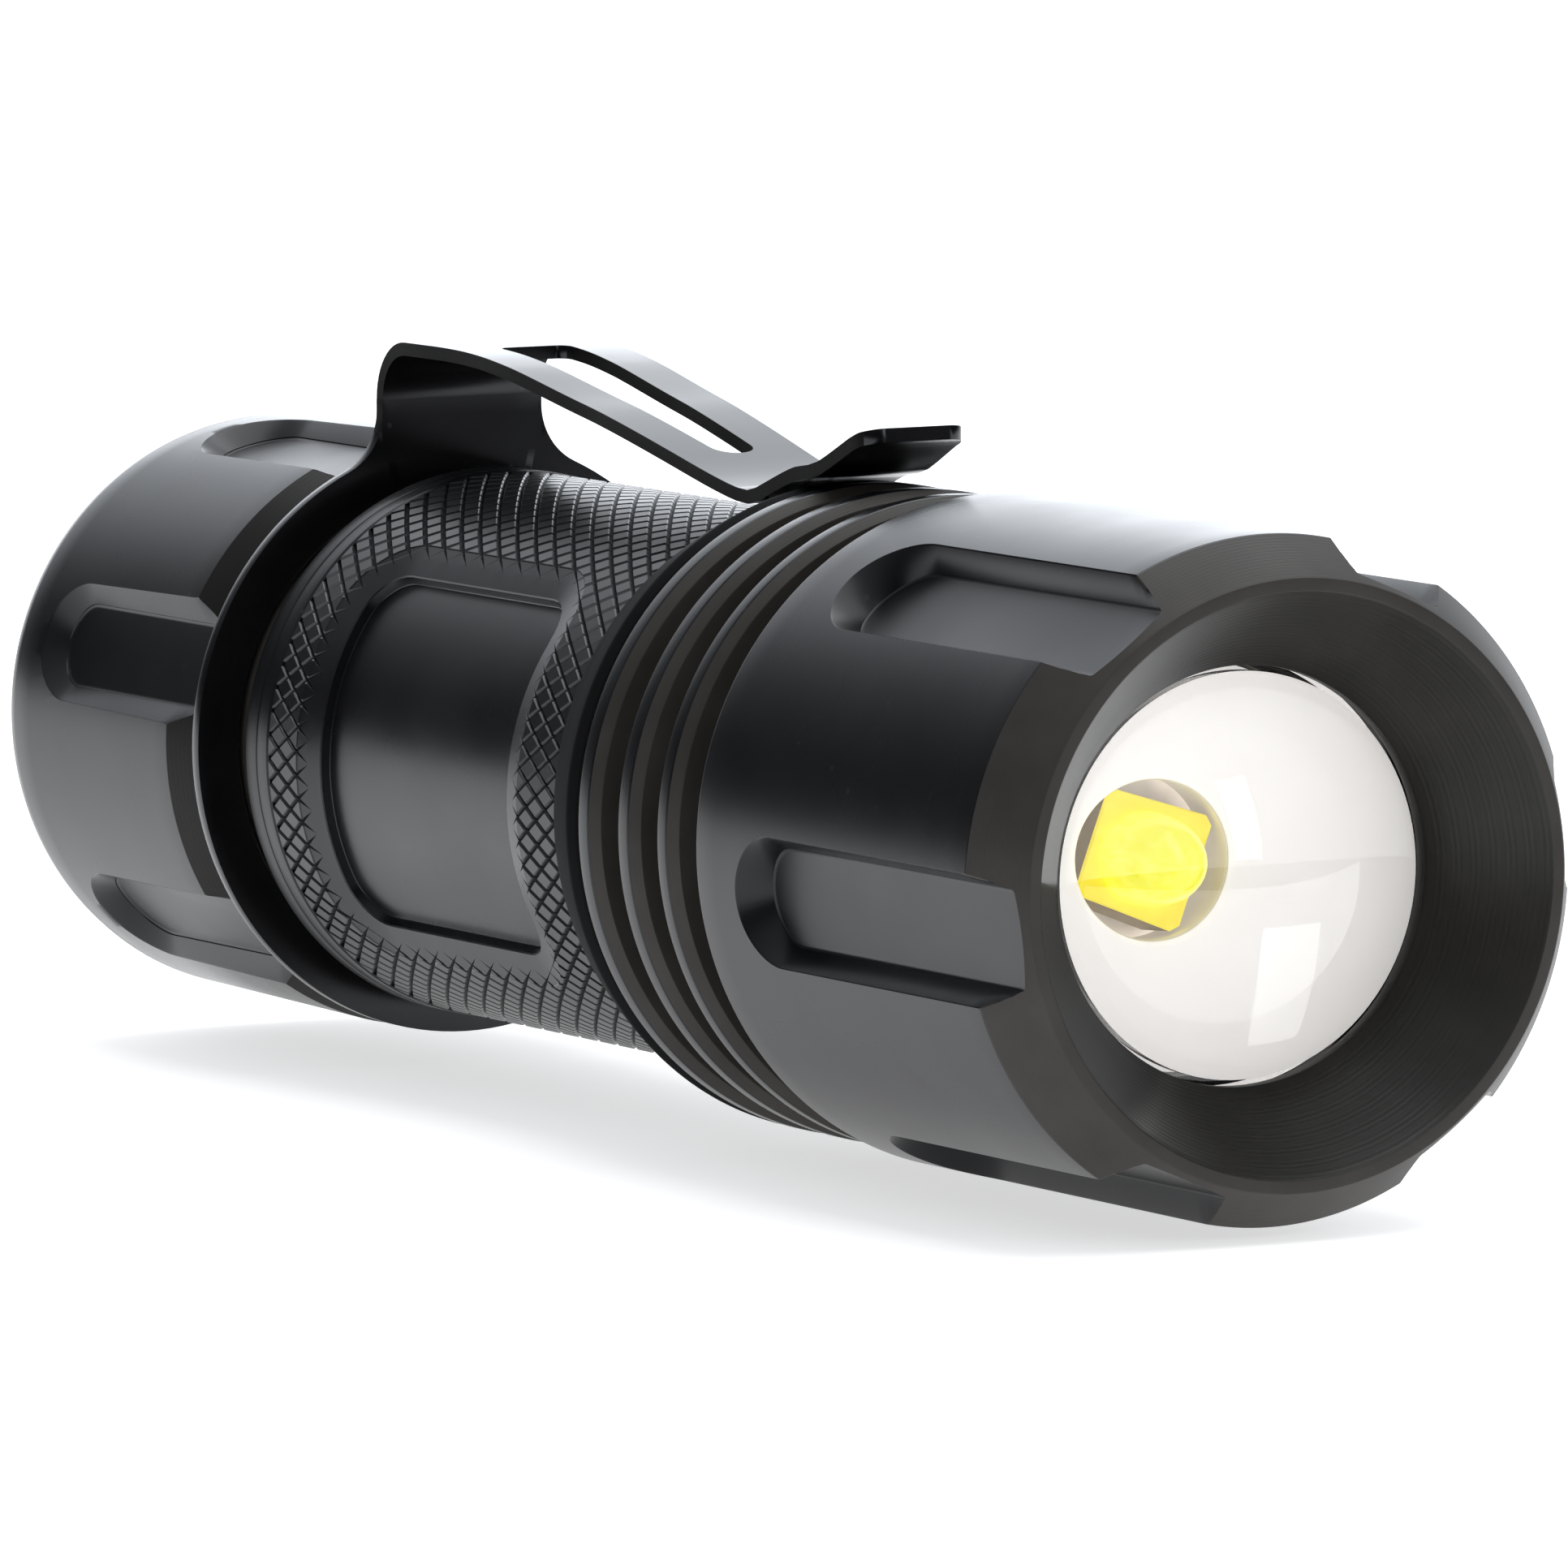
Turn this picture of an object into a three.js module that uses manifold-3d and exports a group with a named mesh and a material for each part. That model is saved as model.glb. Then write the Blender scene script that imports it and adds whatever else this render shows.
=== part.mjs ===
// Pocket-size tactical flashlight with a sliding focus head, a removable
// three-cell battery carrier, a swivelling spring clip and a click switch in
// the screw-on tail cap.
//
// Units are millimetres.  The light is drawn along X: the front rim is the
// plane x = 0 and the tail face is at x = -TAIL_REAR.  The clip is on +Z.
// The exported group then moves the origin to the middle of the bounding box
// in X and Y and to the lowest point of the head in Z.

import * as THREE from 'three';
import { mergeVertices } from 'three/addons/utils/BufferGeometryUtils.js';
import Module from 'manifold-3d';

const wasm = await Module();
wasm.setup();

// ---------------------------------------------------------------- dimensions
const OUTER_SEGS = 36;          // facets round the outer shells
const INNER_SEGS = 24;          // facets round the small inner pieces

const TAIL_REAR = 104.8;        // overall length
const HEAD_R = 16.0;            // head, largest radius
const RIM_R = 14.14;            // front rim, outer radius
const RIM_IN_R = 13.35;         // front rim, inner radius
const HEAD_CHAMFER = 2.72;      // length of the front chamfer
const HEAD_REAR = 28.6;         // rear edge of the plain part of the head
const FIN_R = 15.64;            // cooling fins
const FIN_FLOOR_R = 13.9;
const FINS = [[31.6, 33.0], [35.4, 36.9], [39.3, 40.9]];   // front, rear of each fin
const LIP_X = 5.2;              // throat of the front cone
const LIP_R = 9.75;

const HEAD_POCKETS = { count: 6, first: 53.0, half: 3.08, floor: 14.4, end: 24.58 };
const TAIL_POCKETS = { count: 6, first: 16.5, half: 3.0, floor: 13.5, end: 101.0 };

const TUBE_R = 13.54;           // knurled grip
const TUBE_BORE_R = 11.4;
const FLANGE_R = 15.55;         // flange that meets the head
const FLANGE_FRONT = 41.2;
const TUBE_BAND_REAR = 79.9;    // shoulder in front of the clip
const BOSS_R = 12.3;            // threaded tail end of the tube
const TUBE_REAR = 93.0;
const WINDOW = { front: 51.2, rear: 74.4, half: 10.1, corner: 4.0, floor: 12.8, first: 4.4 };

const NECK_R = 11.4;            // sleeve that the head slides on
const CAP_FRONT = 83.6;
const CAP_R = 14.85;
const CAP_REAR_R = 14.62;

const CLIP_T = 0.65;            // spring steel sheet
const CLIP_RING_R = 14.83;
const CLIP_RING_IN_R = 12.6;
const CLIP_FRONT = 82.5;        // front face of the ring plate
const CLIP_JOINT = 79.0;        // where the arm starts to flex

const CELL_R = 5.05;            // AAA cell
const CELL_PITCH_R = 6.05;      // cell centres from the axis
const CELL_FRONT = 45.1;
const CELL_LENGTH = 44.4;

// -------------------------------------------------------------------- helpers
// One closed, outward-facing, indexed surface without stray triangles.
function tidy(source) {
  const g0 = source.index ? source.clone() : source.clone();
  for (const name of Object.keys(g0.attributes)) {
    if (name !== 'position') g0.deleteAttribute(name);
  }
  g0.clearGroups();
  const g = mergeVertices(g0, 1e-4);
  const p = g.attributes.position;
  const idx = g.index.array;
  const keep = [];
  let volume = 0;
  for (let i = 0; i < idx.length; i += 3) {
    const [a, b, c] = [idx[i], idx[i + 1], idx[i + 2]];
    if (a === b || b === c || a === c) continue;
    keep.push(a, b, c);
    const A = new THREE.Vector3().fromBufferAttribute(p, a);
    const B = new THREE.Vector3().fromBufferAttribute(p, b);
    const C = new THREE.Vector3().fromBufferAttribute(p, c);
    volume += A.dot(B.cross(C)) / 6;
  }
  if (volume < 0) {
    for (let i = 0; i < keep.length; i += 3) {
      const t = keep[i + 1];
      keep[i + 1] = keep[i + 2];
      keep[i + 2] = t;
    }
  }
  const out = new THREE.BufferGeometry();
  out.setAttribute('position', new THREE.BufferAttribute(new Float32Array(p.array), 3));
  out.setIndex(keep);
  return mergeVertices(out, 1e-5);
}

function solid(geometry) {
  const g = tidy(geometry);
  const mesh = new wasm.Mesh({
    numProp: 3,
    vertProperties: new Float32Array(g.attributes.position.array),
    triVerts: new Uint32Array(g.index.array),
  });
  return new wasm.Manifold(mesh);
}

function surface(manifold) {
  const mesh = manifold.getMesh();
  const g = new THREE.BufferGeometry();
  g.setAttribute('position', new THREE.BufferAttribute(new Float32Array(mesh.vertProperties), 3));
  g.setIndex(Array.from(mesh.triVerts));
  return g;
}

// Turned shape about X.  Profile points are [distance behind the rim, radius].
// A profile that starts and ends on the axis is a solid of revolution; any
// other profile is closed on itself and gives a ring.
function turned(profile, segs = INNER_SEGS) {
  const pts = profile.map(([x, r]) => new THREE.Vector2(r, -x));
  const open = profile[0][1] === 0 && profile[profile.length - 1][1] === 0;
  if (!open) pts.push(pts[0].clone());
  const g = new THREE.LatheGeometry(pts, segs);
  g.rotateZ(-Math.PI / 2);
  return tidy(g);
}

// Cylinder along X from x0 to x1 (distances behind the rim) at (y, z).
function rod(r, x0, x1, y = 0, z = 0, segs = INNER_SEGS) {
  const g = new THREE.CylinderGeometry(r, r, x1 - x0, segs);
  g.rotateZ(Math.PI / 2);
  g.translate(-(x0 + x1) / 2, y, z);
  return g;
}

function box(x0, x1, ySize, zSize, y = 0, z = 0) {
  const g = new THREE.BoxGeometry(x1 - x0, ySize, zSize);
  g.translate(-(x0 + x1) / 2, y, z);
  return g;
}

// Turn a shape that was drawn pointing to +Z to the clock angle used for the
// pockets: 0 degrees is -Y, 90 degrees is +Z.
function toAngle(geometry, degrees) {
  geometry.rotateX(THREE.MathUtils.degToRad(90 - degrees));
  return geometry;
}

// Extrude an (x, y) outline upwards from z0 to z1.
function slab(points, z0, z1) {
  const shape = new THREE.Shape(points.map(([x, y]) => new THREE.Vector2(x, y)));
  const g = new THREE.ExtrudeGeometry(shape, { depth: z1 - z0, bevelEnabled: false, steps: 1 });
  g.translate(0, 0, z0);
  return g;
}

// Outline of a milled pocket, open at the front, with a full round rear end.
function pocketOutline(front, end, half) {
  const pts = [[-front, -half], [-front, half]];
  const cx = -(end - half);
  for (let i = 0; i <= 8; i++) {
    const a = Math.PI / 2 + (Math.PI * i) / 8;
    pts.push([cx + half * Math.cos(a), half * Math.sin(a)]);
  }
  return pts;
}

function cutPockets(body, spec, front, top) {
  let out = body;
  for (let i = 0; i < spec.count; i++) {
    const cutter = slab(pocketOutline(front, spec.end, spec.half), spec.floor, top);
    toAngle(cutter, spec.first + (360 / spec.count) * i);
    out = out.subtract(solid(cutter));
  }
  return out;
}

// Round wire bent into a coil about X.
function coil(x0, x1, r0, r1, wire, turns) {
  class Helix extends THREE.Curve {
    getPoint(t, target = new THREE.Vector3()) {
      const a = t * turns * 2 * Math.PI;
      const r = r0 + (r1 - r0) * t;
      return target.set(-(x0 + (x1 - x0) * t), r * Math.cos(a), r * Math.sin(a));
    }
  }
  return wireAlong(new Helix(), wire, Math.round(turns * 12), 6);
}

function wireAlong(curve, wire, steps, sides) {
  const section = new THREE.Shape();
  for (let i = 0; i < sides; i++) {
    const a = (2 * Math.PI * i) / sides;
    const x = wire * Math.cos(a);
    const y = wire * Math.sin(a);
    if (i === 0) section.moveTo(x, y); else section.lineTo(x, y);
  }
  section.closePath();
  return tidy(new THREE.ExtrudeGeometry(section, { steps, extrudePath: curve, bevelEnabled: false }));
}

// O-ring: a small octagon turned about X.
function oring(x, r, section) {
  const pts = [];
  for (let i = 0; i < 8; i++) {
    const a = (Math.PI * (i + 0.5)) / 4;
    pts.push([x + section * Math.sin(a), r + section * Math.cos(a)]);
  }
  return turned(pts, INNER_SEGS);
}

// ------------------------------------------------------------------ materials
function finish(color, roughness, metalness) {
  return () => new THREE.MeshStandardMaterial({ color, roughness, metalness });
}
const blackAluminium = finish(0x24262a, 0.5, 0.8);
const nearBlack = finish(0x1a1a1c, 0.45, 0.7);
const clearLens = finish(0xdfe6e8, 0.05, 0.0);
const rubber = finish(0x161616, 0.85, 0.0);
const whitePlastic = finish(0xe8e6e0, 0.6, 0.0);
const blackPlastic = finish(0x1c1c1e, 0.55, 0.0);
const phosphor = finish(0xf2dc1e, 0.5, 0.0);
const ceramic = finish(0xd9d4c0, 0.6, 0.0);
const greenBoard = finish(0x1f5a34, 0.55, 0.0);
const whiteBoard = finish(0xe4e4e0, 0.5, 0.1);
const brass = finish(0xb08d46, 0.35, 0.9);
const steel = finish(0xa8aaac, 0.35, 0.9);
const cellJacket = finish(0x3a4a5a, 0.4, 0.5);
const redWire = finish(0xa02018, 0.5, 0.0);
const blackWire = finish(0x181818, 0.5, 0.0);

const light = new THREE.Group();
function add(name, geometry, material) {
  const mesh = new THREE.Mesh(geometry, material());
  mesh.name = name;
  light.add(mesh);
  return mesh;
}

// ----------------------------------------------------------------------- head
// Sliding focus head: chamfered rim, six milled pockets that run out through
// the chamfer, and three fins at the back.
const bezelOutline = [
  [0, 13.6], [0, RIM_R], [HEAD_CHAMFER, HEAD_R], [HEAD_REAR - 0.25, HEAD_R],
  [HEAD_REAR, HEAD_R - 0.25], [HEAD_REAR, FIN_FLOOR_R],
];
for (const [front, rear] of FINS) {
  bezelOutline.push([front, FIN_FLOOR_R], [front, FIN_R - 0.55], [front + 0.5, FIN_R], [rear, FIN_R]);
  if (rear < 40) bezelOutline.push([rear, FIN_FLOOR_R]);
}
bezelOutline.push(
  [40.9, NECK_R + 0.35], [24.0, NECK_R + 0.35], [24.0, 12.6], [9.2, 12.6],
  [9.2, 11.4], [6.0, 11.4], [6.0, LIP_R], [LIP_X, LIP_R], [0.22, RIM_IN_R],
);
add('bezel', surface(cutPockets(solid(turned(bezelOutline, OUTER_SEGS)), HEAD_POCKETS, -1, 17.5)), blackAluminium);

// Moulded aspheric lens: domed front, flat back, clamping flange.
const lensOutline = [[1.6, 0]];
for (let i = 1; i <= 6; i++) {
  const r = (9.45 * i) / 6;
  lensOutline.push([1.6 + (r * r) / (12 * (1 + Math.sqrt(1 - (0.3 * r * r) / 144))), r]);
}
lensOutline.push([6.3, 9.45], [6.3, 11.1], [8.2, 11.1], [8.2, 10.2], [9.3, 10.0], [9.3, 0]);
add('lens', turned(lensOutline, 32), clearLens);
add('lens_gasket', turned([[8.35, 10.45], [8.35, 11.15], [9.0, 11.15], [9.0, 10.45]], 32), rubber);

// Threaded ring behind the lens, with two spanner notches.
let ring = solid(turned([[9.3, 10.5], [9.3, 11.1], [9.6, 11.1], [9.6, 12.3], [11.4, 12.3], [11.4, 10.5]], 32));
for (const side of [-1, 1]) ring = ring.subtract(solid(box(10.6, 12, 1.6, 2.4, 0, side * 11.6)));
add('lens_retaining_ring', surface(ring), nearBlack);

// Split stop ring in the neck groove: it lets the head turn and stops it
// sliding off the front.
const stopRing = solid(turned([[16.4, 10.95], [16.4, 12.3], [17.5, 12.3], [17.5, 10.95]], INNER_SEGS))
  .subtract(solid(box(16, 18, 2.2, 4, 0, -11.6)));
add('stop_ring', surface(stopRing), steel);

// ----------------------------------------------------------------- light unit
// Neck: slides inside the head, holds the emitter at its front end and the
// driver at its back, and screws into the grip tube.
let neck = solid(turned([
  [14.7, 0], [14.7, 9.7], [11.9, 9.7], [11.9, 11.1], [12.2, NECK_R], [16.1, NECK_R], [16.1, 10.65],
  [17.8, 10.65], [17.8, NECK_R], [32.9, NECK_R], [32.9, 10.3], [35.1, 10.3], [35.1, NECK_R],
  [41.5, NECK_R], [41.5, 12.1], [46.7, 12.1], [46.7, 11.3], [42.2, 11.3], [42.2, 10.1],
  [38.4, 10.1], [38.4, 9.0], [19.5, 9.0], [19.5, 0],
], 32));
for (const side of [-1, 1]) neck = neck.subtract(solid(rod(1.1, 13.5, 21, side * 5.5, 0, 12)));
add('neck', surface(neck), blackAluminium);
add('neck_oring', oring(34.0, 11.0, 0.6), rubber);

let ledBoard = solid(rod(9.4, 12.9, 14.4, 0, 0, 28));
for (const side of [-1, 1]) ledBoard = ledBoard.subtract(solid(rod(1.1, 12, 15.5, side * 5.5, 0, 12)));
add('led_board', surface(ledBoard), whiteBoard);
add('led_base', box(12.0, 12.75, 3.5, 3.5), ceramic);
const domeOutline = [[11.9, 0], [11.9, 1.4]];
for (let i = 1; i <= 5; i++) {
  const a = (Math.PI / 2) * (i / 5);
  domeOutline.push([11.75 - 1.35 * Math.sin(a), i === 5 ? 0 : 1.4 * Math.cos(a)]);
}
add('led_dome', turned(domeOutline, 20), phosphor);
add('centring_disc', turned([[11.7, 2.6], [11.7, 9.5], [12.6, 9.5], [12.6, 2.6]], 28), whitePlastic);

const wirePath = (side) => new THREE.CatmullRomCurve3([
  new THREE.Vector3(-38.7, side * 4.6, 0), new THREE.Vector3(-34, side * 4.8, 0.6),
  new THREE.Vector3(-26, side * 5.4, 0.9), new THREE.Vector3(-20.5, side * 5.5, 0.1),
  new THREE.Vector3(-17, side * 5.5, 0), new THREE.Vector3(-13.2, side * 5.5, 0),
]);
add('led_wire_positive', wireAlong(wirePath(1), 0.6, 12, 6), redWire);
add('led_wire_negative', wireAlong(wirePath(-1), 0.6, 12, 6), blackWire);

add('driver_board', rod(9.8, 38.9, 40.1, 0, 0, 28), greenBoard);
add('driver_inductor', rod(2.6, 35.6, 38.8, 0, 5.2, 16), blackPlastic);
add('driver_chip', box(37.6, 38.8, 4.0, 5.0, 0, -4.4), blackPlastic);
add('driver_retaining_ring', turned([[40.3, 8.2], [40.3, 9.8], [41.6, 9.8], [41.6, 8.2]]), brass);
add('driver_spring', coil(40.6, 42.4, 3.4, 2.2, 0.32, 2.5), steel);

// ------------------------------------------------------------------ grip tube
const tubeOutline = [
  [FLANGE_FRONT, 15.3], [FLANGE_FRONT + 0.3, FLANGE_R], [41.8, FLANGE_R], [47.0, TUBE_R],
  [77.4, TUBE_R], [77.6, 13.35], [79.6, 13.35], [TUBE_BAND_REAR, 13.05], [TUBE_BAND_REAR, BOSS_R],
  [TUBE_REAR - 0.4, BOSS_R], [TUBE_REAR, BOSS_R - 0.4], [TUBE_REAR, TUBE_BORE_R],
  [47.2, TUBE_BORE_R], [47.2, 12.4], [FLANGE_FRONT, 12.4],
];
let tube = solid(turned(tubeOutline, OUTER_SEGS));
const windowOutline = [];
{
  const { front, rear, half, corner } = WINDOW;
  const cx = (front + rear) / 2;
  const lx = (rear - front) / 2;
  for (const [sx, sy, a0] of [[1, 1, 0], [-1, 1, 90], [-1, -1, 180], [1, -1, 270]]) {
    for (let i = 0; i <= 3; i++) {
      const a = THREE.MathUtils.degToRad(a0 + 30 * i);
      windowOutline.push([-cx + sx * (lx - corner) + corner * Math.cos(a), sy * (half - corner) + corner * Math.sin(a)]);
    }
  }
}
const windowCore = solid(turned([
  [WINDOW.front - 2, WINDOW.floor], [WINDOW.front - 2, 16], [WINDOW.rear + 2, 16], [WINDOW.rear + 2, WINDOW.floor],
], OUTER_SEGS));
for (const turn of [0, 180]) {
  const cutter = toAngle(slab(windowOutline, 4, 16), WINDOW.first + turn);
  tube = tube.subtract(solid(cutter).intersect(windowCore));
}
add('grip_tube', surface(tube), blackAluminium);

// --------------------------------------------------------------- battery pack
let carrier = solid(rod(11.0, 43.3, 44.7, 0, 0, INNER_SEGS))
  .add(solid(rod(11.0, 89.9, 91.3, 0, 0, INNER_SEGS)));
for (let i = 0; i < 3; i++) {
  const a = THREE.MathUtils.degToRad(150 + 120 * i);
  carrier = carrier.add(solid(rod(1.7, 44, 90.5, 9.1 * Math.cos(a), 9.1 * Math.sin(a), 10)));
}
add('battery_carrier', surface(carrier), blackPlastic);
add('carrier_front_plate', rod(7.1, 44.75, 45.05, 0, 0, 20), steel);
add('carrier_rear_plate', rod(7.1, 89.55, 89.85, 0, 0, 20), steel);
add('carrier_front_contact', rod(3.4, 42.95, 43.25, 0, 0, 16), brass);
add('carrier_rear_contact', rod(5.0, 91.35, 91.65, 0, 0, 16), brass);
for (let i = 0; i < 3; i++) {
  const a = THREE.MathUtils.degToRad(90 + 120 * i);
  const flip = i === 1;
  const profile = [[0, 0], [0, 1.9], [1.0, 1.9], [1.0, CELL_R], [CELL_LENGTH, CELL_R], [CELL_LENGTH, 0]]
    .map(([x, r]) => [flip ? CELL_FRONT + CELL_LENGTH - x : CELL_FRONT + x, r]);
  const g = turned(profile, 20);
  g.translate(0, CELL_PITCH_R * Math.cos(a), CELL_PITCH_R * Math.sin(a));
  add(`cell_${i + 1}`, g, cellJacket);
}

// ------------------------------------------------------------------- tail cap
const capOutline = [
  [CAP_FRONT, 13.6], [86.0, CAP_R], [103.5, CAP_REAR_R], [104.45, 14.15], [TAIL_REAR, 13.3],
  [TAIL_REAR, 7.2], [104.0, 6.4], [102.4, 6.4], [102.4, 9.6], [94.6, 9.6], [94.6, 12.6],
  [86.8, 12.6], [86.8, 13.15], [CAP_FRONT, 13.15],
];
add('tail_cap', surface(cutPockets(solid(turned(capOutline, OUTER_SEGS)), TAIL_POCKETS, 82, 16)), blackAluminium);
add('tail_oring', oring(85.6, 12.75, 0.28), rubber);
add('switch_retaining_ring', turned([[94.9, 7.4], [94.9, 9.3], [95.9, 9.3], [95.9, 7.4]]), brass);
add('switch_board', rod(9.3, 96.1, 97.1, 0, 0, 28), greenBoard);
add('tail_spring', coil(95.5, 92.4, 4.6, 3.4, 0.38, 3), steel);
const switchBody = solid(box(97.2, 100.0, 8.4, 8.4)).subtract(solid(rod(2.0, 97.8, 101, 0, 0, 16)));
add('switch_body', surface(switchBody), blackPlastic);
add('switch_plunger', rod(1.7, 99.6, 102.3, 0, 0, 16), whitePlastic);
add('boot_flange', turned([[101.6, 6.6], [101.6, 9.3], [102.25, 9.3], [102.25, 6.6]]), rubber);
add('switch_boot', turned([
  [102.6, 0], [102.6, 6.1], [103.3, 6.1], [103.9, 5.2], [104.25, 3.0], [104.35, 0],
]), rubber);

// ----------------------------------------------------------------------- clip
// Side view of the sheet, outer surface, from the ring plate over the bend and
// down the arm to the turned-up tip: [distance behind the rim, height].
const clipOuter = [[CLIP_FRONT + CLIP_T, 12.9], [CLIP_FRONT + CLIP_T, 16.9]];
{
  const R = 3.0;
  const cx = CLIP_FRONT + CLIP_T - R;
  for (let i = 1; i <= 6; i++) {
    const a = (Math.PI / 2) * (i / 6);
    clipOuter.push([cx + R * Math.cos(a), 16.9 + R * Math.sin(a)]);
  }
}
clipOuter.push(
  [76.4, 19.93], [74.4, 19.86], [72.4, 19.71], [70.4, 19.46], [68.4, 19.12], [64.0, 18.28],
  [57.7, 17.04], [51.5, 15.72], [48.4, 15.05], [47.1, 14.88], [46.2, 14.98], [45.2, 15.3],
  [43.6, 15.95], [42.4, 16.38], [41.2, 16.54], [40.2, 16.8], [39.2, 17.25], [37.6, 18.0],
  [36.6, 18.4], [35.8, 18.62],
);
function offsetInside(points, t) {
  const out = [];
  for (let i = 0; i < points.length; i++) {
    const p = points[i];
    const a = points[Math.max(i - 1, 0)];
    const b = points[Math.min(i + 1, points.length - 1)];
    const n1 = [-(p[1] - a[1]), p[0] - a[0]];
    const n2 = [-(b[1] - p[1]), b[0] - p[0]];
    const l1 = Math.hypot(...n1) || 1;
    const l2 = Math.hypot(...n2) || 1;
    let nx = (i > 0 ? n1[0] / l1 : 0) + (i < points.length - 1 ? n2[0] / l2 : 0);
    let ny = (i > 0 ? n1[1] / l1 : 0) + (i < points.length - 1 ? n2[1] / l2 : 0);
    const l = Math.hypot(nx, ny);
    nx /= l;
    ny /= l;
    const ref = i > 0 ? [n1[0] / l1, n1[1] / l1] : [n2[0] / l2, n2[1] / l2];
    const miter = t / Math.max(0.5, nx * ref[0] + ny * ref[1]);
    out.push([p[0] + nx * miter, p[1] + ny * miter]);
  }
  return out;
}
const clipInner = offsetInside(clipOuter, CLIP_T);
const clipSide = [...clipOuter, ...clipInner.reverse()].map(([x, z]) => [-x, z]);
const sideShape = new THREE.Shape(clipSide.map(([x, z]) => new THREE.Vector2(x, z)));
const strip = new THREE.ExtrudeGeometry(sideShape, { depth: 12, bevelEnabled: false, steps: 1 });
strip.rotateX(Math.PI / 2);
strip.translate(0, 6, 0);

// Plan outline of the strip: it tapers towards a rounded tip.
const plan = [[-84, -4.45], [-80, -4.4], [-44, -3.05], [-37.6, -3.0], [-36.5, -2.6], [-35.75, -1.7],
  [-35.6, 0], [-35.75, 1.7], [-36.5, 2.6], [-37.6, 3.0], [-44, 3.05], [-80, 4.4], [-84, 4.45]];
const slot = [[-75.6, -1.7], [-75.0, -2.05], [-73.0, -2.1], [-54.0, -1.45], [-51.8, -1.2], [-51.0, 0],
  [-51.8, 1.2], [-54.0, 1.45], [-73.0, 2.1], [-75.0, 2.05], [-75.6, 1.7]];
let clip = solid(strip).intersect(solid(slab(plan, 10, 22))).subtract(solid(slab(slot, 12, 22)));

// Ring plate with a filleted tab.
const plate = new THREE.Shape();
{
  const R = CLIP_RING_R;
  const start = THREE.MathUtils.degToRad(90 - 28);
  plate.moveTo(R * Math.cos(start), R * Math.sin(start));
  plate.lineTo(5.6, 14.15);
  plate.lineTo(4.9, 14.6);
  plate.lineTo(4.45, 15.5);
  plate.lineTo(4.45, 16.9);
  plate.lineTo(-4.45, 16.9);
  plate.lineTo(-4.45, 15.5);
  plate.lineTo(-4.9, 14.6);
  plate.lineTo(-5.6, 14.15);
  const steps = 32;
  for (let i = 0; i < steps; i++) {
    const a = THREE.MathUtils.degToRad(118) + (THREE.MathUtils.degToRad(304) * i) / steps;
    plate.lineTo(R * Math.cos(a), R * Math.sin(a));
  }
  plate.closePath();
  const hole = new THREE.Path();
  for (let i = 0; i < 36; i++) {
    const a = (-2 * Math.PI * i) / 36;
    const p = [CLIP_RING_IN_R * Math.cos(a), CLIP_RING_IN_R * Math.sin(a)];
    if (i === 0) hole.moveTo(...p); else hole.lineTo(...p);
  }
  hole.closePath();
  plate.holes.push(hole);
}
const plateSolid = new THREE.ExtrudeGeometry(plate, { depth: CLIP_T, bevelEnabled: false, steps: 1 });
plateSolid.rotateY(Math.PI / 2);
plateSolid.rotateX(Math.PI / 2);
plateSolid.translate(-(CLIP_FRONT + CLIP_T), 0, 0);
clip = clip.intersect(solid(box(30, 90, 14, 14, 0, 20.5))).add(solid(plateSolid));
const bandPart = clip.intersect(solid(box(CLIP_JOINT + 0.15, 90, 40, 60)));
const armPart = clip.intersect(solid(box(30, CLIP_JOINT - 0.15, 40, 60)));
add('clip_band', surface(bandPart), nearBlack);
add('clip_arm', surface(armPart), nearBlack);

// Row frame: middle of the length, on the axis, lowest point of the head.
light.position.set(TAIL_REAR / 2, 0, HEAD_R);

export default light;
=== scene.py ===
import math

import bpy
import bmesh
import numpy as np
from mathutils import Matrix, Vector


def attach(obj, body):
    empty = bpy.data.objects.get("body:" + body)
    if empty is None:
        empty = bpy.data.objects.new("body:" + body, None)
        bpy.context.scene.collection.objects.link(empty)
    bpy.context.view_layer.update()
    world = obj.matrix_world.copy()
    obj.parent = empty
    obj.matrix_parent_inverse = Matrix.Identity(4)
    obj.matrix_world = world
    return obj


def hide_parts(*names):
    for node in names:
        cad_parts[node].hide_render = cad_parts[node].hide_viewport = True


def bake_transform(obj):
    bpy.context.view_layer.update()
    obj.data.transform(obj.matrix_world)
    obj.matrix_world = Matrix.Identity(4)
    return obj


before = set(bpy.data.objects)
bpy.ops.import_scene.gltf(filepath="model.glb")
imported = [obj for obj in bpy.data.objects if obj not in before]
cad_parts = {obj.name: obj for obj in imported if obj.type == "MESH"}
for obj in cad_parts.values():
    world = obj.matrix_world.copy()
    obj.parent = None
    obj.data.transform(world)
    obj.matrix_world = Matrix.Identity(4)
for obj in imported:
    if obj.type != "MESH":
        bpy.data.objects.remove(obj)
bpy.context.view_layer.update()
scene = bpy.context.scene

# The light is drawn in millimetres along X: the front rim is x = 0, the tail
# face is x = -104.8, and the axis is y = z = 0.  finish_piece() takes a mesh
# into the frame's metres.
HALF = 52.4
AXIS = 16.0
TO_ROW = Matrix.Translation((HALF * 0.001, 0.0, AXIS * 0.001)) @ Matrix.Scale(0.001, 4)


# ------------------------------------------------------------------ materials
def new_material(name):
    m = bpy.data.materials.new(name)
    m.use_nodes = True
    nt = m.node_tree
    nt.nodes.clear()
    out = nt.nodes.new("ShaderNodeOutputMaterial")
    bsdf = nt.nodes.new("ShaderNodeBsdfPrincipled")
    nt.links.new(bsdf.outputs[0], out.inputs[0])
    return m, nt, bsdf


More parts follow.
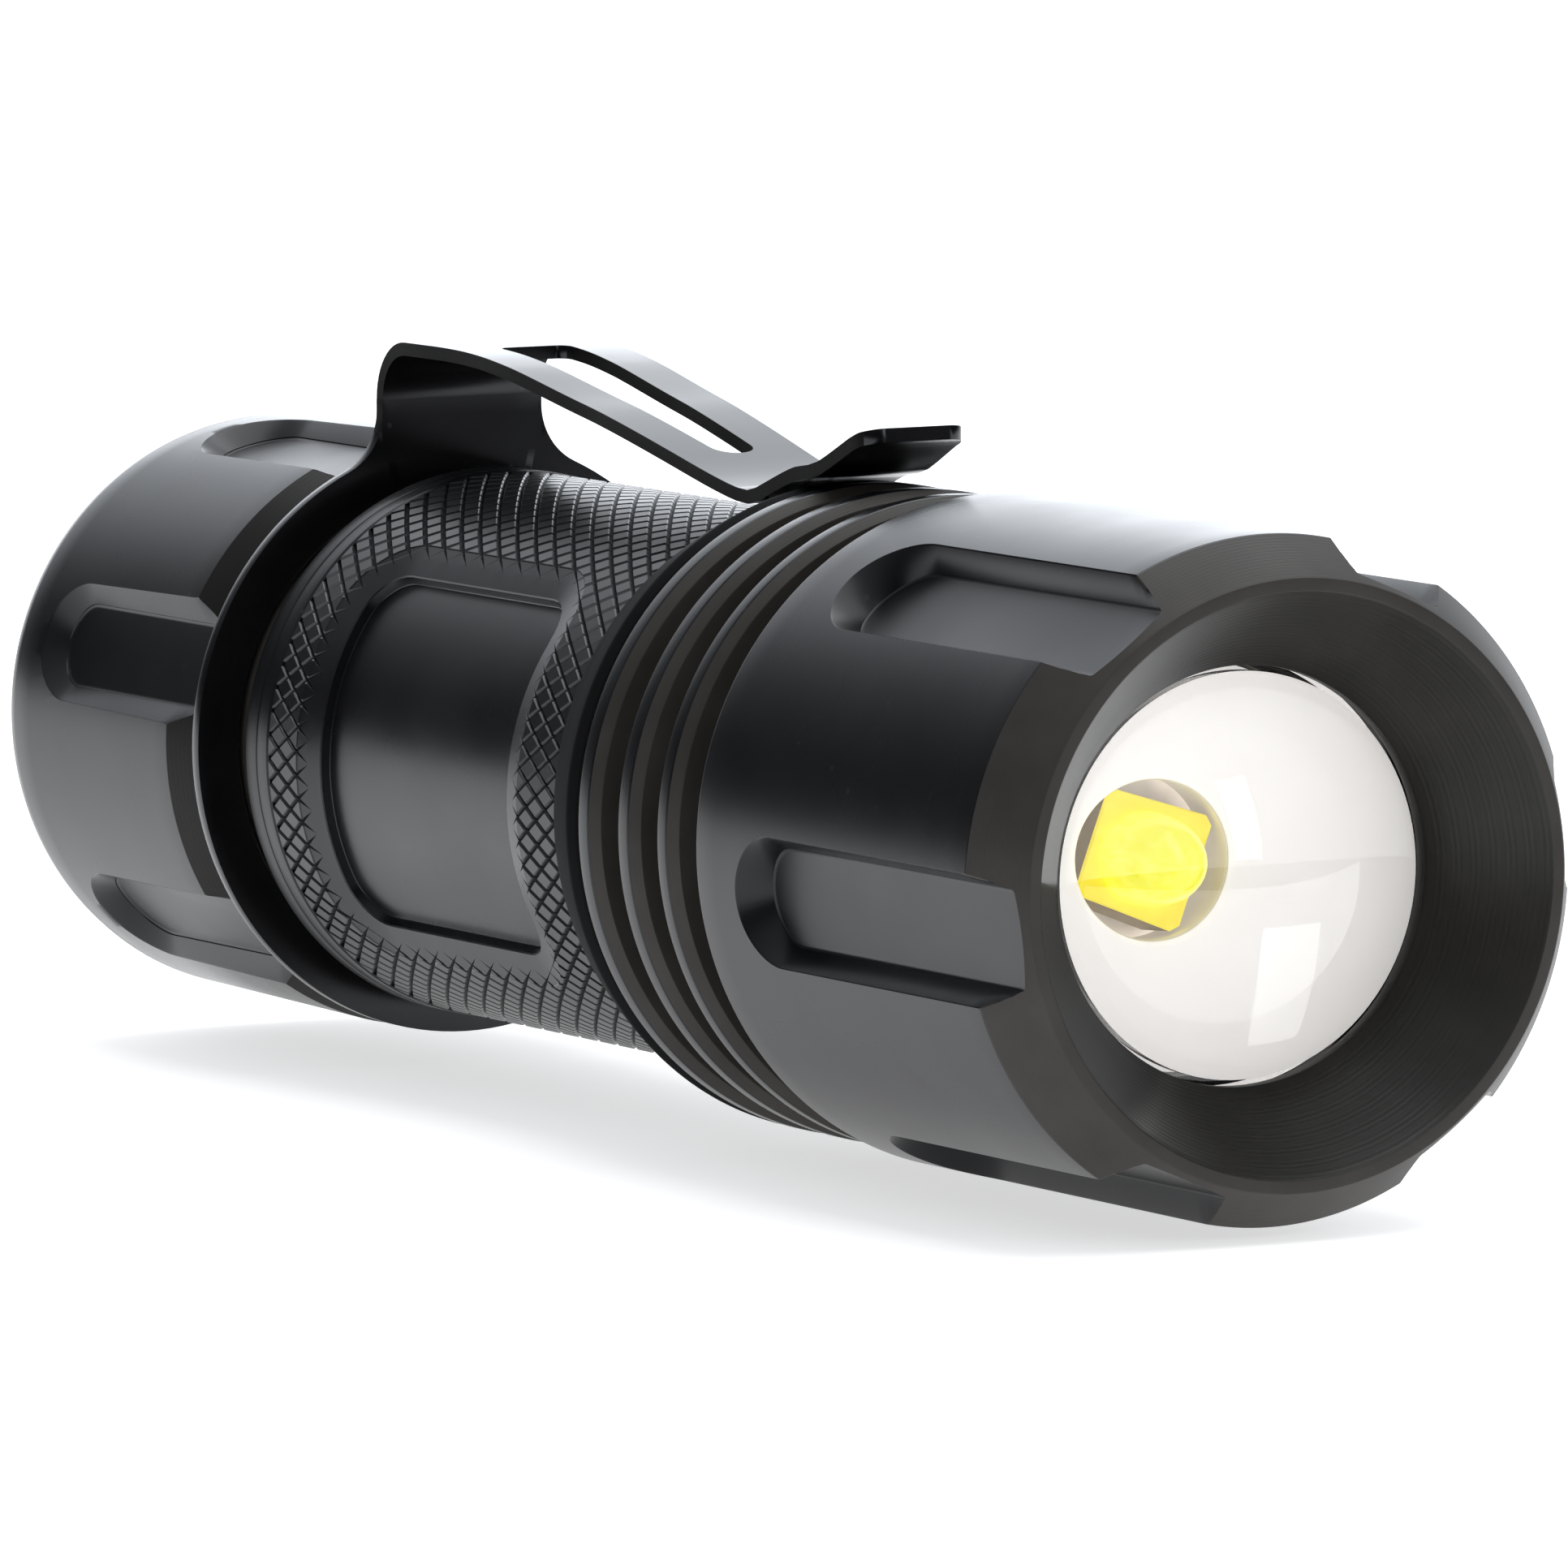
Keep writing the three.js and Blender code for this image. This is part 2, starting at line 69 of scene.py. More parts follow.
def coords(nt, centre=True):
    tc = nt.nodes.new("ShaderNodeTexCoord")
    mp = nt.nodes.new("ShaderNodeMapping")
    mp.inputs["Location"].default_value = (0, 0, -AXIS * 0.001 if centre else 0)
    nt.links.new(tc.outputs["Object"], mp.inputs["Vector"])
    return mp.outputs["Vector"]


def noise(nt, vec, scale, detail=2.0, rough=0.5):
    n = nt.nodes.new("ShaderNodeTexNoise")
    n.inputs["Scale"].default_value = scale
    n.inputs["Detail"].default_value = detail
    n.inputs["Roughness"].default_value = rough
    nt.links.new(vec, n.inputs["Vector"])
    return n.outputs["Fac"]


def remap(nt, value, a, b, lo, hi):
    m = nt.nodes.new("ShaderNodeMapRange")
    m.inputs["From Min"].default_value = a
    m.inputs["From Max"].default_value = b
    m.inputs["To Min"].default_value = lo
    m.inputs["To Max"].default_value = hi
    nt.links.new(value, m.inputs["Value"])
    return m.outputs["Result"]


def ramp(nt, value, stops):
    r = nt.nodes.new("ShaderNodeValToRGB")
    els = r.color_ramp.elements
    while len(els) < len(stops):
        els.new(0.5)
    for e, (p, c) in zip(els, stops):
        e.position = p
        e.color = (*c, 1.0)
    nt.links.new(value, r.inputs["Fac"])
    return r.outputs["Color"]


def mixc(nt, fac, a, b):
    m = nt.nodes.new("ShaderNodeMix")
    m.data_type = "RGBA"
    nt.links.new(fac, m.inputs[0])
    nt.links.new(a, m.inputs[6])
    if isinstance(b, tuple):
        m.inputs[7].default_value = (*b, 1.0)
    else:
        nt.links.new(b, m.inputs[7])
    return m.outputs[2]


def bump(nt, height, strength, distance, normal=None):
    b = nt.nodes.new("ShaderNodeBump")
    b.inputs["Strength"].default_value = strength
    b.inputs["Distance"].default_value = distance
    nt.links.new(height, b.inputs["Height"])
    if normal is not None:
        nt.links.new(normal, b.inputs["Normal"])
    return b.outputs["Normal"]


def surface(name, low, high, rough=(0.4, 0.5), metallic=0.0, grain=9000.0, grain_depth=0.00001,
            grain_strength=0.3, specular=0.5, blotch=300.0, coat=0.0, coat_rough=0.1, specks=0.0, tint=(0.94, 0.955, 1.0)):
    """A finish whose colour, gloss and fine relief all vary from place to place."""
    m, nt, b = new_material(name)
    v = coords(nt)
    big = noise(nt, v, blotch, 3.0)
    fine = noise(nt, v, grain, 2.0, 0.6)
    colour = ramp(nt, big, [(0.3, low), (0.7, high)])
    if specks:
        vor = nt.nodes.new("ShaderNodeTexVoronoi")
        vor.inputs["Scale"].default_value = 420.0
        nt.links.new(v, vor.inputs["Vector"])
        dot = remap(nt, vor.outputs["Distance"], 0.05, 0.075, specks, 0.0)
        colour = mixc(nt, dot, colour, (0.35, 0.34, 0.33))
    nt.links.new(colour, b.inputs["Base Color"])
    nt.links.new(remap(nt, noise(nt, v, blotch * 0.45, 2.0), 0.3, 0.7, *rough), b.inputs["Roughness"])
    b.inputs["Metallic"].default_value = metallic
    b.inputs["Specular IOR Level"].default_value = specular
    b.inputs["Specular Tint"].default_value = (*tint, 1.0)
    b.inputs["Coat Weight"].default_value = coat
    b.inputs["Coat Roughness"].default_value = coat_rough
    nt.links.new(bump(nt, fine, grain_strength, grain_depth), b.inputs["Normal"])
    return m


def turned_metal(name, low, high, rough, metallic, pitch=0.00012, depth=0.000004, strength=0.5, specular=0.5):
    """Lathe-turned metal: fine rings round the axis on cylinders, cones and faces alike."""
    m, nt, b = new_material(name)
    v = coords(nt)
    along = nt.nodes.new("ShaderNodeTexWave")
    along.wave_type = "BANDS"
    along.bands_direction = "X"
    round_ = nt.nodes.new("ShaderNodeTexWave")
    round_.wave_type = "RINGS"
    round_.rings_direction = "X"
    for w in (along, round_):
        w.inputs["Scale"].default_value = 0.314 / pitch
        w.inputs["Distortion"].default_value = 1.2
        w.inputs["Detail"].default_value = 2.0
        w.inputs["Detail Scale"].default_value = 0.4
        nt.links.new(v, w.inputs["Vector"])
    add = nt.nodes.new("ShaderNodeMath")
    add.operation = "ADD"
    nt.links.new(along.outputs["Fac"], add.inputs[0])
    nt.links.new(round_.outputs["Fac"], add.inputs[1])
    big = noise(nt, v, 260.0, 3.0)
    colour = ramp(nt, big, [(0.3, low), (0.7, high)])
    nt.links.new(colour, b.inputs["Base Color"])
    nt.links.new(remap(nt, add.outputs[0], 0.4, 1.6, rough - 0.06, rough + 0.06), b.inputs["Roughness"])
    b.inputs["Metallic"].default_value = metallic
    b.inputs["Specular IOR Level"].default_value = specular
    nt.links.new(bump(nt, add.outputs[0], strength, depth), b.inputs["Normal"])
    return m


ANODISED = surface("anodised_black", (0.0034, 0.0035, 0.0043), (0.0052, 0.0054, 0.0066), (0.25, 0.29), 0.0,
                   grain=8000.0, grain_depth=0.000010, grain_strength=0.12, specular=0.36, specks=0.04)
MILLED = surface("anodised_milled", (0.0036, 0.0036, 0.0042), (0.0056, 0.0056, 0.0064), (0.28, 0.33), 0.0,
                 grain=6000.0, grain_depth=0.000010, grain_strength=0.12, specular=0.36, specks=0.03)
TURNED = turned_metal("anodised_turned", (0.0305, 0.0277, 0.0250), (0.0435, 0.0397, 0.0360), 0.44, 0.0, strength=0.3, specular=0.26)
# Painted shade: a darker copy of the turned finish, for the floors between the head's fins and the tail cap's front
# face and chamfer.
GROOVE_PAINTED_SHADE = turned_metal("anodised_groove_painted_shade", (0.0060, 0.0054, 0.0048), (0.0095, 0.0084, 0.0074), 0.42, 0.0, strength=0.3, specular=0.22)
CONE = turned_metal("anodised_cone", (0.0175, 0.0162, 0.0150), (0.026, 0.0240, 0.0222), 0.38, 0.0, pitch=0.0002, depth=0.000004, specular=0.30)
FLANGE = surface("anodised_flange", (0.0038, 0.0038, 0.0042), (0.0058, 0.0058, 0.0064), (0.60, 0.70), 0.0,
                 grain=6000.0, grain_depth=0.000010, grain_strength=0.12, specular=0.06)
KNURL = surface("anodised_knurl", (0.0045, 0.0047, 0.0056), (0.0070, 0.0073, 0.0085), (0.26, 0.32), 0.0,
                grain=7000.0, grain_depth=0.00001, grain_strength=0.16, specular=0.42)
CLIP_BLACK = surface("clip_black", (0.0028, 0.0028, 0.0032), (0.0044, 0.0044, 0.0050), (0.18, 0.24), 0.0,
                     grain=5000.0, grain_depth=0.000006, grain_strength=0.15, specular=0.46, specks=0.06)
CLIP_EDGE = surface("clip_edge", (0.0034, 0.0032, 0.0030), (0.0060, 0.0056, 0.0052), (0.50, 0.60), 0.0,
                    grain=3000.0, grain_depth=0.00002, grain_strength=0.4, specular=0.10)
RUBBER = surface("boot_rubber", (0.010, 0.010, 0.010), (0.018, 0.018, 0.018), (0.6, 0.75), 0.0,
                 grain=5200.0, grain_depth=0.00002, grain_strength=0.4, specular=0.4)
SEAL = surface("seal_rubber", (0.012, 0.012, 0.012), (0.02, 0.02, 0.02), (0.35, 0.5), 0.0, specular=0.5)
WHITE = surface("white_plastic", (0.78, 0.78, 0.76), (0.86, 0.86, 0.84), (0.45, 0.6), 0.0,
                grain=4000.0, grain_strength=0.15, specular=0.5, blotch=400.0)
DARK_PLASTIC = surface("dark_plastic", (0.018, 0.018, 0.019), (0.028, 0.028, 0.030), (0.4, 0.55), 0.0, grain=3000.0, grain_strength=0.3)
CERAMIC = surface("emitter_ceramic", (0.30, 0.24, 0.15), (0.40, 0.33, 0.22), (0.5, 0.6), 0.0, blotch=900.0)
GREEN = surface("solder_mask_green", (0.012, 0.10, 0.035), (0.02, 0.15, 0.05), (0.25, 0.4), 0.0, blotch=700.0, coat=0.4)
BOARD = surface("solder_mask_white", (0.72, 0.72, 0.70), (0.82, 0.82, 0.80), (0.3, 0.45), 0.0, blotch=600.0, coat=0.3)
BRASS = turned_metal("turned_brass", (0.50, 0.34, 0.12), (0.62, 0.44, 0.18), 0.28, 1.0, pitch=0.00015)
STEEL = turned_metal("bright_steel", (0.48, 0.48, 0.47), (0.60, 0.60, 0.60), 0.26, 1.0, pitch=0.0001, depth=0.000002)
JACKET = surface("cell_jacket", (0.05, 0.08, 0.12), (0.07, 0.11, 0.16), (0.25, 0.35), 0.3, blotch=120.0, coat=0.5)
RED = surface("red_insulation", (0.35, 0.02, 0.015), (0.48, 0.03, 0.02), (0.4, 0.5), 0.0)
BLACK_WIRE = surface("black_insulation", (0.012, 0.012, 0.012), (0.02, 0.02, 0.02), (0.4, 0.5), 0.0)
BORE = turned_metal("bore_black", (0.022, 0.021, 0.020), (0.03, 0.029, 0.028), 0.4, 0.1, pitch=0.0002)


def painted_glow(name, low, high, strength, rough=0.45, scale=2500.0):
    """Bright material with painted glow: it emits in its own colour, standing in for the light that falls on it."""
    m, nt, b = new_material(name)
    v = coords(nt)
    colour = ramp(nt, noise(nt, v, scale, 4.0, 0.7), [(0.35, low), (0.65, high)])
    nt.links.new(colour, b.inputs["Base Color"])
    nt.links.new(colour, b.inputs["Emission Color"])
    b.inputs["Emission Strength"].default_value = strength
    b.inputs["Roughness"].default_value = rough
    nt.links.new(bump(nt, noise(nt, v, 700.0), 0.04, 0.00001), b.inputs["Normal"])
    return m


def lens_glass():
    m, nt, b = new_material("lens_clear")
    v = coords(nt)
    b.inputs["Transmission Weight"].default_value = 1.0
    b.inputs["IOR"].default_value = 1.52
    tint = ramp(nt, noise(nt, v, 90.0, 2.0), [(0.3, (0.985, 0.985, 0.98)), (0.7, (1.0, 1.0, 0.998))])
    nt.links.new(tint, b.inputs["Base Color"])
    b.inputs["Roughness"].default_value = 0.0
    return m


# Painted glow: the emitter's phosphor and its dome emit their own yellow, standing in for the light falling on them.
PHOSPHOR = painted_glow("phosphor", (0.90, 0.72, 0.03), (0.97, 0.83, 0.06), 0.55)
PHOSPHOR_DOME = painted_glow("phosphor_dome_painted_glow", (0.93, 0.90, 0.06), (0.98, 0.97, 0.13), 0.66, rough=0.2)
# Painted glow: the white centring disc emits its own colour to stay bright behind the lens.
DISC_WHITE = painted_glow("centring_white_painted_glow", (0.90, 0.868, 0.845), (0.925, 0.893, 0.872), 0.63, rough=0.5, scale=300.0)
# Painted shade and painted glow: a darker, dimmer-glowing copy of the disc white for the wall of its hole.
DISC_SHADE = painted_glow("centring_wall_painted_shade_glow", (0.74, 0.68, 0.58), (0.82, 0.76, 0.66), 0.30, scale=600.0)
# Painted glow: the emitter board seen through the hole emits a warm beige of its own.
EMITTER_BOARD = painted_glow("emitter_board_painted_glow", (0.62, 0.57, 0.50), (0.78, 0.72, 0.63), 0.24, rough=0.35, scale=500.0)
LENS = lens_glass()


# ------------------------------------------------------------------- geometry
def mesh_object(name, verts, faces):
    me = bpy.data.meshes.new(name)
    me.from_pydata([tuple(map(float, v)) for v in verts], [], [tuple(f) for f in faces])
    me.update()
    bm = bmesh.new()
    bm.from_mesh(me)
    bmesh.ops.remove_doubles(bm, verts=bm.verts, dist=1e-5)
    bmesh.ops.recalc_face_normals(bm, faces=bm.faces)
    bm.to_mesh(me)
    bm.free()
    ob = bpy.data.objects.new(name, me)
    scene.collection.objects.link(ob)
    return ob


def fillet(points, n=4):
    """Round the corners of a closed profile.  Points are (x, r) or (x, r, radius)."""
    out = []
    count = len(points)
    for i, p in enumerate(points):
        rad = p[2] if len(p) > 2 else 0.0
        P = np.array(p[:2], float)
        if rad <= 0:
            out.append(tuple(P))
            continue
        u = np.array(points[i - 1][:2], float) - P
        v = np.array(points[(i + 1) % count][:2], float) - P
        lu, lv = np.linalg.norm(u), np.linalg.norm(v)
        u, v = u / lu, v / lv
        ang = math.acos(float(np.clip(u @ v, -1, 1)))
        if ang > math.pi - 0.02:
            out.append(tuple(P))
            continue
        d = min(rad / math.tan(ang / 2), 0.45 * lu, 0.45 * lv)
        r = d * math.tan(ang / 2)
        bis = (u + v) / np.linalg.norm(u + v)
        c = P + bis * (r / math.sin(ang / 2))
        t0 = math.atan2(*(P + u * d - c)[::-1])
        t1 = math.atan2(*(P + v * d - c)[::-1])
        dt = (t1 - t0 + math.pi) % (2 * math.pi) - math.pi
        for k in range(n + 1):
            t = t0 + dt * k / n
            out.append((c[0] + r * math.cos(t), c[1] + r * math.sin(t)))
    return out


def subdivide(points, step, closed=True):
    """Add points along the long straight stretches of a profile."""
    out = []
    n = len(points)
    for i in range(n if closed else n - 1):
        a, b = np.array(points[i]), np.array(points[(i + 1) % n])
        k = max(1, int(math.ceil(np.linalg.norm(b - a) / step)))
        for j in range(k):
            out.append(tuple(a + (b - a) * j / k))
    if not closed:
        out.append(tuple(points[-1]))
    return out


def lathe(name, profile, segs=192, closed=True):
    """Turn a profile of (x, r) about the axis.  Points with r = 0 are poles."""
    verts, rings = [], []
    for x, r in profile:
        if r < 1e-7:
            rings.append([len(verts)])
            verts.append((x, 0, 0))
        else:
            rings.append(list(range(len(verts), len(verts) + segs)))
            for i in range(segs):
                a = 2 * math.pi * i / segs
                verts.append((x, -r * math.cos(a), r * math.sin(a)))
    faces = []
    n = len(rings)
    for k in range(n if closed else n - 1):
        A, B = rings[k], rings[(k + 1) % n]
        for i in range(segs):
            j = (i + 1) % segs
            if len(A) == 1 and len(B) == 1:
                continue
            if len(A) == 1:
                faces.append((A[0], B[i], B[j]))
            elif len(B) == 1:
                faces.append((A[i], A[j], B[0]))
            else:
                faces.append((A[i], A[j], B[j], B[i]))
    return mesh_object(name, verts, faces)


def loft(name, rings):
    """Closed body through rings of equal length, capped at both ends."""
    n = len(rings[0])
    verts = [p for ring in rings for p in ring]
    faces = []
    for k in range(len(rings) - 1):
        for i in range(n):
            j = (i + 1) % n
            faces.append((k * n + i, k * n + j, (k + 1) * n + j, (k + 1) * n + i))
    faces.append(tuple(range(n)))
    faces.append(tuple((len(rings) - 1) * n + i for i in range(n)))
    return mesh_object(name, verts, faces)


def join(objects, name):
    bm = bmesh.new()
    for ob in objects:
        bm.from_mesh(ob.data)
    me = bpy.data.meshes.new(name)
    bm.to_mesh(me)
    bm.free()
    for ob in objects:
        bpy.data.objects.remove(ob)
    out = bpy.data.objects.new(name, me)
    scene.collection.objects.link(out)
    return out


def apply(ob):
    dg = bpy.context.evaluated_depsgraph_get()
    dg.update()
    me = bpy.data.meshes.new_from_object(ob.evaluated_get(dg))
    ob.modifiers.clear()
    ob.data = me
    return ob


def boolean(ob, other, operation="DIFFERENCE", solver="EXACT"):
    m = ob.modifiers.new("cut", "BOOLEAN")
    m.object = other
    m.operation = operation
    m.solver = solver
    apply(ob)
    bpy.data.objects.remove(other)
    return ob


def bevel(ob, width, segments=2, angle=32):
    m = ob.modifiers.new("edge", "BEVEL")
    m.width = width
    m.segments = segments
    m.limit_method = "ANGLE"
    m.angle_limit = math.radians(angle)
    m.use_clamp_overlap = True
    return apply(ob)


def finish_piece(ob, body, materials, choose=None, sharp=28, replaces=(), even=False):
    """Shade, colour and place a piece, hang it on its body and hide the parts it replaces."""
    me = ob.data
    me.materials.clear()
    for m in materials:
        me.materials.append(m)
    if choose:
        for p in me.polygons:
            c, n = p.center, p.normal
            r = math.hypot(c.y, c.z)
            nr = (n.y * c.y + n.z * c.z) / max(r, 1e-6)
            p.material_index = choose(c.x, r, n.x, nr, c)
    for p in me.polygons:
        p.use_smooth = True
    me.set_sharp_from_angle(angle=math.radians(sharp))
    me.transform(TO_ROW)
    me.update()
    if even:
        # keep broad faces flat-shaded right up to their rounded edges
        w = ob.modifiers.new("even", "WEIGHTED_NORMAL")
        w.keep_sharp = True
        w.weight = 50
        apply(ob)
    if body:
        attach(ob, body)
    if replaces:
        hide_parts(*replaces)
    return ob


def radial(alpha):
    a = math.radians(alpha)
    return np.array([0, -math.cos(a), math.sin(a)]), np.array([0, math.sin(a), math.cos(a)])


def pocket_cutter(name, alpha, front, straight, half_top, half_floor, floor, surf, edge=0.07, floor_round=0.22):
    """Tapered milled pocket with a full round end, a rounded floor corner and a broken top edge."""
    e_r, e_t = radial(alpha)
    outline = [((x, 0.0), (0.0, 1.0)) for x in np.linspace(front, straight, 30)]
    outline += [((straight, 0.0), (math.cos(a), math.sin(a))) for a in (math.pi / 2 + math.pi * k / 28 for k in range(1, 28))]
    outline += [((x, 0.0), (0.0, -1.0)) for x in np.linspace(straight, front, 30)]
    full = math.sqrt(surf(straight) ** 2 - half_top ** 2)
    k_wall = (half_top - half_floor) / (full - floor)

    def skin(x, t):
        return math.sqrt(max(surf(x) ** 2 - t * t, 0))

    def ring(place):
        out = []
        for (cx, _), (dx, dt) in outline:
            h, z = half_top, 0.0
            for _ in range(4):
                h, z = place(cx + dx * h, dt * h)
            out.append(np.array([cx + dx * h, 0, 0]) + dt * h * e_t + z * e_r)
        return out

    def wall(z, extra=0.0):
        return half_floor + (z - floor) * k_wall + extra

    def broken(lower, extra):
        def place(x, t):
            z = max(skin(x, t), floor + 0.4) + lower
            return wall(z, extra), z
        return place

    rings = []
    fr = floor_round
    for k in range(4):
        a = (math.pi / 2) * k / 3
        rings.append(ring(lambda x, t, a=a: (half_floor - fr + fr * math.sin(a), floor + fr * 0.6 * (1 - math.cos(a)))))
    rings.append(ring(broken(-edge, 0.0)))
    rings.append(ring(broken(edge, 2 * edge * 0.8)))
    rings.append(ring(broken(2.4, 2 * edge * 0.8)))
    return loft(name, rings)


# ----------------------------------------------------------------------- head
LIP_X, LIP_R = -5.2, 9.75


def head_surface(x):
    if x > 0:
        x = 0
    return 14.14 + (16 - 14.14) * min(-x / 2.72, 1)


def fin(front, rear, floor=13.9, top=15.64, last=False):
    pts = [(front, floor, 0.12), (front, top - 0.45, 0.1), (front - 0.55, top, 0.22), (rear, top, 0.1)]
    if not last:
        pts.append((rear, floor, 0.12))
    return pts


head_profile = [
    (-0.22, 13.38, 0.1), (0.0, 13.55, 0.06), (0.0, 14.14, 0.12), (-2.72, 16.0, 0.35),
    (-28.45, 16.0, 0.25), (-28.6, 15.8, 0.1), (-28.6, 13.9, 0.12),
]
for front, rear in ((-31.6, -33.0), (-35.4, -36.9)):
    head_profile += fin(front, rear)
head_profile += fin(-39.4, -40.9, last=True)
head_profile += [(-40.9, 11.75, 0.1), (-24.0, 11.75), (-24.0, 12.6), (-9.2, 12.6), (-9.2, 11.4), (-6.0, 11.4),
                 (-6.0, LIP_R, 0.1), (LIP_X, LIP_R, 0.1)]
head = lathe("head_shell", subdivide(fillet(head_profile), 1.6), 216)
cutters = [pocket_cutter(f"c{i}", 53.1 + 60 * i, 1.2, -21.5, 3.08, 2.4, 14.4, head_surface) for i in range(6)]
boolean(head, join(cutters, "head_cutters"))


def head_choice(x, r, nx, nr, c):
    if nr < -0.2 and x > -5.6:
        return 2
    # painted shade: the floors between the fins take the darker copy of the turned finish
    if x < -28.5 and r < 14.1:
        return 5
    if x < -28.5 and r < 15.45:
        return 1
    if x > -2.9 and nx > 0.3 and r > 14.35 - 1.2 and abs(r - head_surface(x)) < 0.06:
        return 1
    if abs(nx) > 0.9 and x > -0.3:
        return 1
    if nr < -0.2:
        return 3
    if x > -28 and r < 15.97 and abs(r - head_surface(x)) > 0.05:
        return 4
    return 0


finish_piece(head, "head", [ANODISED, TURNED, CONE, BORE, MILLED, GROOVE_PAINTED_SHADE], head_choice, replaces=("bezel",))

# Aspheric lens with its clamping flange.
lens_profile = [(-1.6, 0.0)]
for i in range(1, 33):
    r = 9.45 * i / 32
    lens_profile.append((-1.6 - r * r / (12.0 * (1 + math.sqrt(1 - 0.3 * r * r / 144.0))), r))
lens_profile += [(-6.3, 9.45), (-6.35, 11.05), (-8.15, 11.05), (-8.2, 10.15), (-9.3, 9.95), (-9.3, 5.0), (-9.3, 0.0)]
lens = lathe("lens_body", lens_profile, 128, closed=False)
finish_piece(lens, "head", [LENS], sharp=30, replaces=("lens",))

# ----------------------------------------------------------------- light unit
neck_profile = [
    (-14.7, 0.0), (-14.7, 9.7), (-11.9, 9.7), (-11.9, 11.1), (-12.2, 11.4), (-16.1, 11.4), (-16.1, 10.65),
    (-17.8, 10.65), (-17.8, 11.4), (-32.9, 11.4), (-32.9, 10.3), (-35.1, 10.3), (-35.1, 11.4),
    (-41.5, 11.4), (-41.5, 12.1), (-46.7, 12.1), (-46.7, 11.3), (-42.2, 11.3), (-42.2, 10.1),
    (-38.4, 10.1), (-38.4, 9.0), (-19.5, 9.0), (-19.5, 0.0),
]
neck = lathe("neck_sleeve", subdivide(neck_profile, 3.0, closed=False), 128, closed=False)
for side in (-1, 1):
    hole = loft("hole", [[(x, side * 5.5 + 1.1 * math.cos(2 * math.pi * k / 20), 1.1 * math.sin(2 * math.pi * k / 20))
                          for k in range(20)] for x in (-13.5, -21.0)])
    boolean(neck, hole)
finish_piece(neck, "tube", [ANODISED, BORE], lambda x, r, nx, nr, c: 1 if r < 11.3 else 0,
             replaces=("neck",))

ring = [(-34.0 + 0.6 * math.cos(2 * math.pi * k / 20), 11.0 + 0.6 * math.sin(2 * math.pi * k / 20)) for k in range(20)]
finish_piece(lathe("neck_seal", ring, 128), "tube", [SEAL], replaces=("neck_oring",))

disc = lathe("disc", fillet([(-11.75, 2.52, 0.08), (-11.7, 2.75, 0.1), (-11.7, 9.5, 0.1), (-12.6, 9.5), (-12.6, 2.5)]), 128)
# The hole's inward-facing wall takes the darker copy: painted shade inside the hole.
finish_piece(disc, "tube", [DISC_WHITE, DISC_SHADE], lambda x, r, nx, nr, c: 1 if nr < -0.35 else 0,
             replaces=("centring_disc",))

# Square emitter package, set a little askew, with small chamfered corners.
package = loft("emitter_package", [[(x, q[0] * c - q[1] * t, q[0] * t + q[1] * c)
                                    for q in [(sx * (h - cut[0]), sy * (h - cut[1])) for sx, sy, cut in (
                                        (1, 1, (0.0, 0.25)), (1, 1, (0.25, 0.0)), (-1, 1, (0.25, 0.0)), (-1, 1, (0.0, 0.25)),
                                        (-1, -1, (0.0, 0.25)), (-1, -1, (0.25, 0.0)), (1, -1, (0.25, 0.0)), (1, -1, (0.0, 0.25)))]]
                                   for x, h in ((-12.75, 1.82), (-11.95, 1.82), (-11.9, 1.78))
                                   for c, t in [(math.cos(math.radians(-20)), math.sin(math.radians(-20)))]])
# The package's front face carries the phosphor's painted glow.
finish_piece(package, "tube", [PHOSPHOR, CERAMIC], lambda x, r, nx, nr, c: 0 if nx > 0.3 else 1,
             replaces=("led_base",))

dome_profile = [(-11.88, 0.0), (-11.88, 1.46)]
for i in range(1, 17):
    a = (math.pi / 2) * i / 16
    dome_profile.append((-11.72 + 1.42 * math.sin(a), 1.46 * math.cos(a) if i < 16 else 0.0))
finish_piece(lathe("emitter_dome", dome_profile, 64, closed=False), "tube", [PHOSPHOR_DOME], replaces=("led_dome",))

# ------------------------------------------------------------------ grip tube
KNURL_R = 13.54
KNURL_FRONT, KNURL_REAR = -46.35, -77.4


